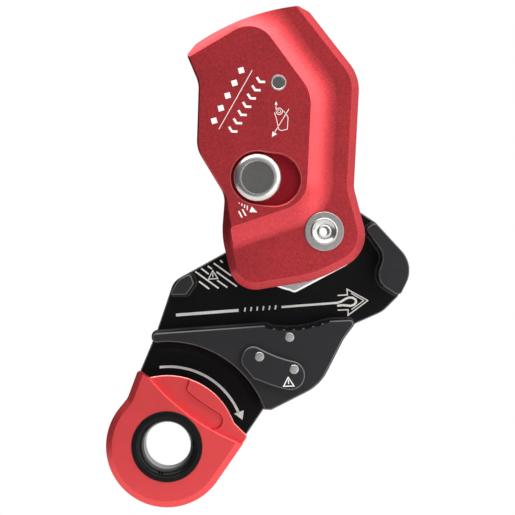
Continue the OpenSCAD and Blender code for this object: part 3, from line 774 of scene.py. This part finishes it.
def floor_marks():
    """Arrows along both rope channels, six ticks, a hatched patch and a warning triangle."""
    marks = stroke([(3.4, 62.3), (34.1, 64.6)], 1.4)
    marks += stroke([
        (55.1, 66.2), (82.4, 68.3), (84.4, 68.9), (86.4, 70.2), (88.2, 70.9), (90.0, 70.8), (91.4, 69.9),
        (91.7, 68.6), (90.7, 67.4), (89.0, 66.8), (87.0, 67.0), (85.0, 67.15), (82.4, 66.85)], 1.05)
    marks += stroke([
        (82.6, 71.9), (87.4, 72.2), (87.2, 75.0), (97.4, 69.4), (87.7, 62.2), (87.8, 64.9),
        (82.6, 64.7)], 0.55)
    marks += stroke([(89.2, 73.0), (95.4, 69.4), (89.4, 65.0)], 0.45)
    for k in range(6):
        x = 37.0 + 3.0 * k
        y = 64.9 + 0.21 * k
        marks += stroke([(x, y - 0.9), (x + 0.4, y + 1.1)], 0.7)
    for a, b in (((25.1, 89.1), (26.3, 88.0)), ((21.9, 87.7), (30.4, 81.6)), ((18.9, 86.3), (21.0, 84.9)),
                 ((23.2, 83.5), (33.2, 76.3)), ((15.8, 85.1), (19.4, 82.4)), ((23.6, 79.3), (28.6, 75.8)),
                 ((12.9, 83.6), (24.3, 75.4)), ((14.7, 78.8), (19.7, 75.1))):
        marks += stroke([a, b], 0.75)
    marks += stroke([(21.4, 84.1), (19.3, 79.9), (23.9, 80.2)], 0.5, closed=True)
    marks += stroke([(21.45, 82.9), (21.5, 80.9)], 0.5)
    marks += stroke(arc(HUB, 37.0, 97.2, 23, 40), 1.25)
    marks += [[(31.9, 14.0), (36.6, 15.6), (36.0, 10.9)]]
    marking("floor_marks", marks, PLATE, "frame")


def keeper_mark():
    marks = stroke([(58.1, 32.9), (55.9, 28.6), (60.9, 28.7)], 0.5, closed=True)
    marks += stroke([(58.2, 31.7), (58.3, 29.7)], 0.5)
    marking("keeper_mark", marks, KEEPER_TOP, "frame")


def generic_rows(along):
    """A row of squares and a row of chevrons beside a line, in place of any name."""
    side = (-along[1], along[0])
    marks = stroke([(40.8, 179.6), (24.9, 151.5)], 0.32)
    for k in range(5):
        marks.append(diamond(between((35.6, 179.6), (22.7, 155.6), k / 4), along, 1.9))
    half = 2.3
    for k in range(7):
        x, y = between((45.0, 175.2), (31.8, 151.6), k / 6)
        ends = [(x + side[0] * s, y + side[1] * s) for s in (-half, half)]
        bend = (x + along[0] * 1.2, y + along[1] * 1.2)
        marks += stroke([ends[0], bend, ends[1]], 1.1)
    return marks


def rope_diagram():
    """A pulley in a body with a rope through it, and an arrowhead at each end."""
    pulley = (53.7, 160.1)
    marks = stroke(arc(pulley, 1.55, 0, 345, 23), 0.3, closed=True)
    marks += stroke(arc(pulley, 0.75, 0, 345, 23), 0.25, closed=True)
    marks += stroke([(55.7, 160.4), (57.9, 157.4), (57.6, 151.6), (54.7, 150.9), (53.4, 151.6),
                     (52.4, 156.5), (51.4, 159.5)], 0.3)
    marks += stroke([(58.3, 161.2), (51.6, 150.2)], 0.32)
    marks += [[(50.2, 147.9), (50.5, 150.6), (52.6, 149.3)]]
    marks += stroke([(52.2, 160.0), (52.2, 163.4)], 0.3)
    marks += [[(51.5, 163.2), (52.2, 164.9), (52.9, 163.2)]]
    return marks


def release_arrow():
    """A row of growing bars that ends in an arrowhead, and two bars beside it."""
    marks = []
    for k in range(4):
        t = k / 4
        x = 34.6 + 5.2 * t
        y = 116.4 - 3.0 * t
        reach = 0.25 + 0.28 * k
        marks += stroke([(x - 0.1 * reach, y - reach), (x + 0.1 * reach, y + reach)], 0.5)
    marks += [[(39.5, 112.1), (40.6, 114.9), (43.2, 112.0)]]
    marks += stroke([(34.4, 112.6), (36.0, 109.6)], 0.7)
    marks += stroke([(36.2, 113.4), (37.8, 110.4)], 0.7)
    return marks


def cover_marks():
    marks = generic_rows(unit(-15.9, -28.1)) + rope_diagram() + release_arrow()
    marking("cover_marks", marks, BOSS_TOP, "cover")


back_plate()
jaw_block()
jaw_wall_fillet()
guides()
keeper()
flush_pins()
cheek()
front_ring()
cover()
recess_rim_highlight()
latch_button()
latch_pivot_head()
pivot_washer()
pivot_axle()
cam_piece()
floor_marks()
keeper_mark()
cover_marks()


# ---- stage, light and camera, in metres ----
def stage():
    mesh = bpy.data.meshes.new("floor")
    reach = 0.6
    low = -0.125
    corners = [(-reach, -reach, low), (reach, -reach, low), (reach, reach, low), (-reach, reach, low)]
    mesh.from_pydata(corners, [], [(0, 1, 2, 3)])
    floor = bpy.data.objects.new("floor", mesh)
    bpy.context.scene.collection.objects.link(floor)
    pale = surface("pale_floor", (0.85, 0.85, 0.85), (0.84, 0.84, 0.84), 0.7, grain=400, bump=0.02, metal=0.0)
    mesh.materials.append(pale)


def softbox(name, place, target, wide, tall, power):
    data = bpy.data.lights.new(name, "AREA")
    data.shape = "RECTANGLE"
    data.size = wide
    data.size_y = tall
    data.energy = power
    data.color = (1, 0.965, 0.89)
    lamp = bpy.data.objects.new(name, data)
    lamp.location = place
    lamp.rotation_euler = (Vector(target) - Vector(place)).to_track_quat("-Z", "Y").to_euler()
    bpy.context.scene.collection.objects.link(lamp)


def sky():
    """White to the eye. As a light it's bright to the right and above and dark to the left."""
    world = bpy.data.worlds.new("studio")
    bpy.context.scene.world = world
    world.use_nodes = True
    tree = world.node_tree
    tree.nodes.clear()
    out = tree.nodes.new("ShaderNodeOutputWorld")
    seen = tree.nodes.new("ShaderNodeBackground")
    seen.inputs["Color"].default_value = (1, 1, 1, 1)
    seen.inputs["Strength"].default_value = 1.0
    lit = tree.nodes.new("ShaderNodeBackground")
    lit.inputs["Color"].default_value = (1, 1, 1, 1)
    where = tree.nodes.new("ShaderNodeTexCoord")
    side = tree.nodes.new("ShaderNodeVectorMath")
    side.operation = "DOT_PRODUCT"
    side.inputs[1].default_value = (0.85, 0.0, 0.53)
    tree.links.new(where.outputs["Generated"], side.inputs[0])
    span = tree.nodes.new("ShaderNodeMapRange")
    span.interpolation_type = "SMOOTHSTEP"
    span.inputs["From Min"].default_value = -0.5
    span.inputs["From Max"].default_value = 1.0
    span.inputs["To Min"].default_value = SKY_LOW
    span.inputs["To Max"].default_value = SKY_TOP
    tree.links.new(side.outputs["Value"], span.inputs["Value"])
    tree.links.new(span.outputs["Result"], lit.inputs["Strength"])
    path = tree.nodes.new("ShaderNodeLightPath")
    mix = tree.nodes.new("ShaderNodeMixShader")
    tree.links.new(path.outputs["Is Camera Ray"], mix.inputs["Fac"])
    tree.links.new(lit.outputs["Background"], mix.inputs[1])
    tree.links.new(seen.outputs["Background"], mix.inputs[2])
    tree.links.new(mix.outputs["Shader"], out.inputs["Surface"])


def camera():
    eye_x, eye_z, reach = 43.35, 90.5, 900     # in millimetres, the reach from the front face
    view_width = 245.2
    front_y = -19
    film = 36
    data = bpy.data.cameras.new("camera")
    data.sensor_width = film
    data.lens = film * reach / view_width
    data.clip_start = 0.05
    eye = bpy.data.objects.new("camera", data)
    eye.location = (eye_x * MM, (front_y - reach) * MM, eye_z * MM)
    eye.rotation_euler = (math.radians(90), 0, 0)
    bpy.context.scene.collection.objects.link(eye)
    bpy.context.scene.camera = eye


stage()
sky()
camera()
middle = (0.045, 0, 0.09)
hub_front = (0.01, 0, 0)
softbox("key", (0.75, -0.55, 0.45), middle, 0.5, 0.9, 4.2)
softbox("top", (0.02, -0.4, 0.95), middle, 1.4, 0.5, 11)
softbox("low", (0.4, -0.65, -0.08), hub_front, 0.5, 0.14, 0.7)
bpy.context.scene.view_settings.view_transform = "Standard"
bpy.context.scene.view_settings.look = "None"
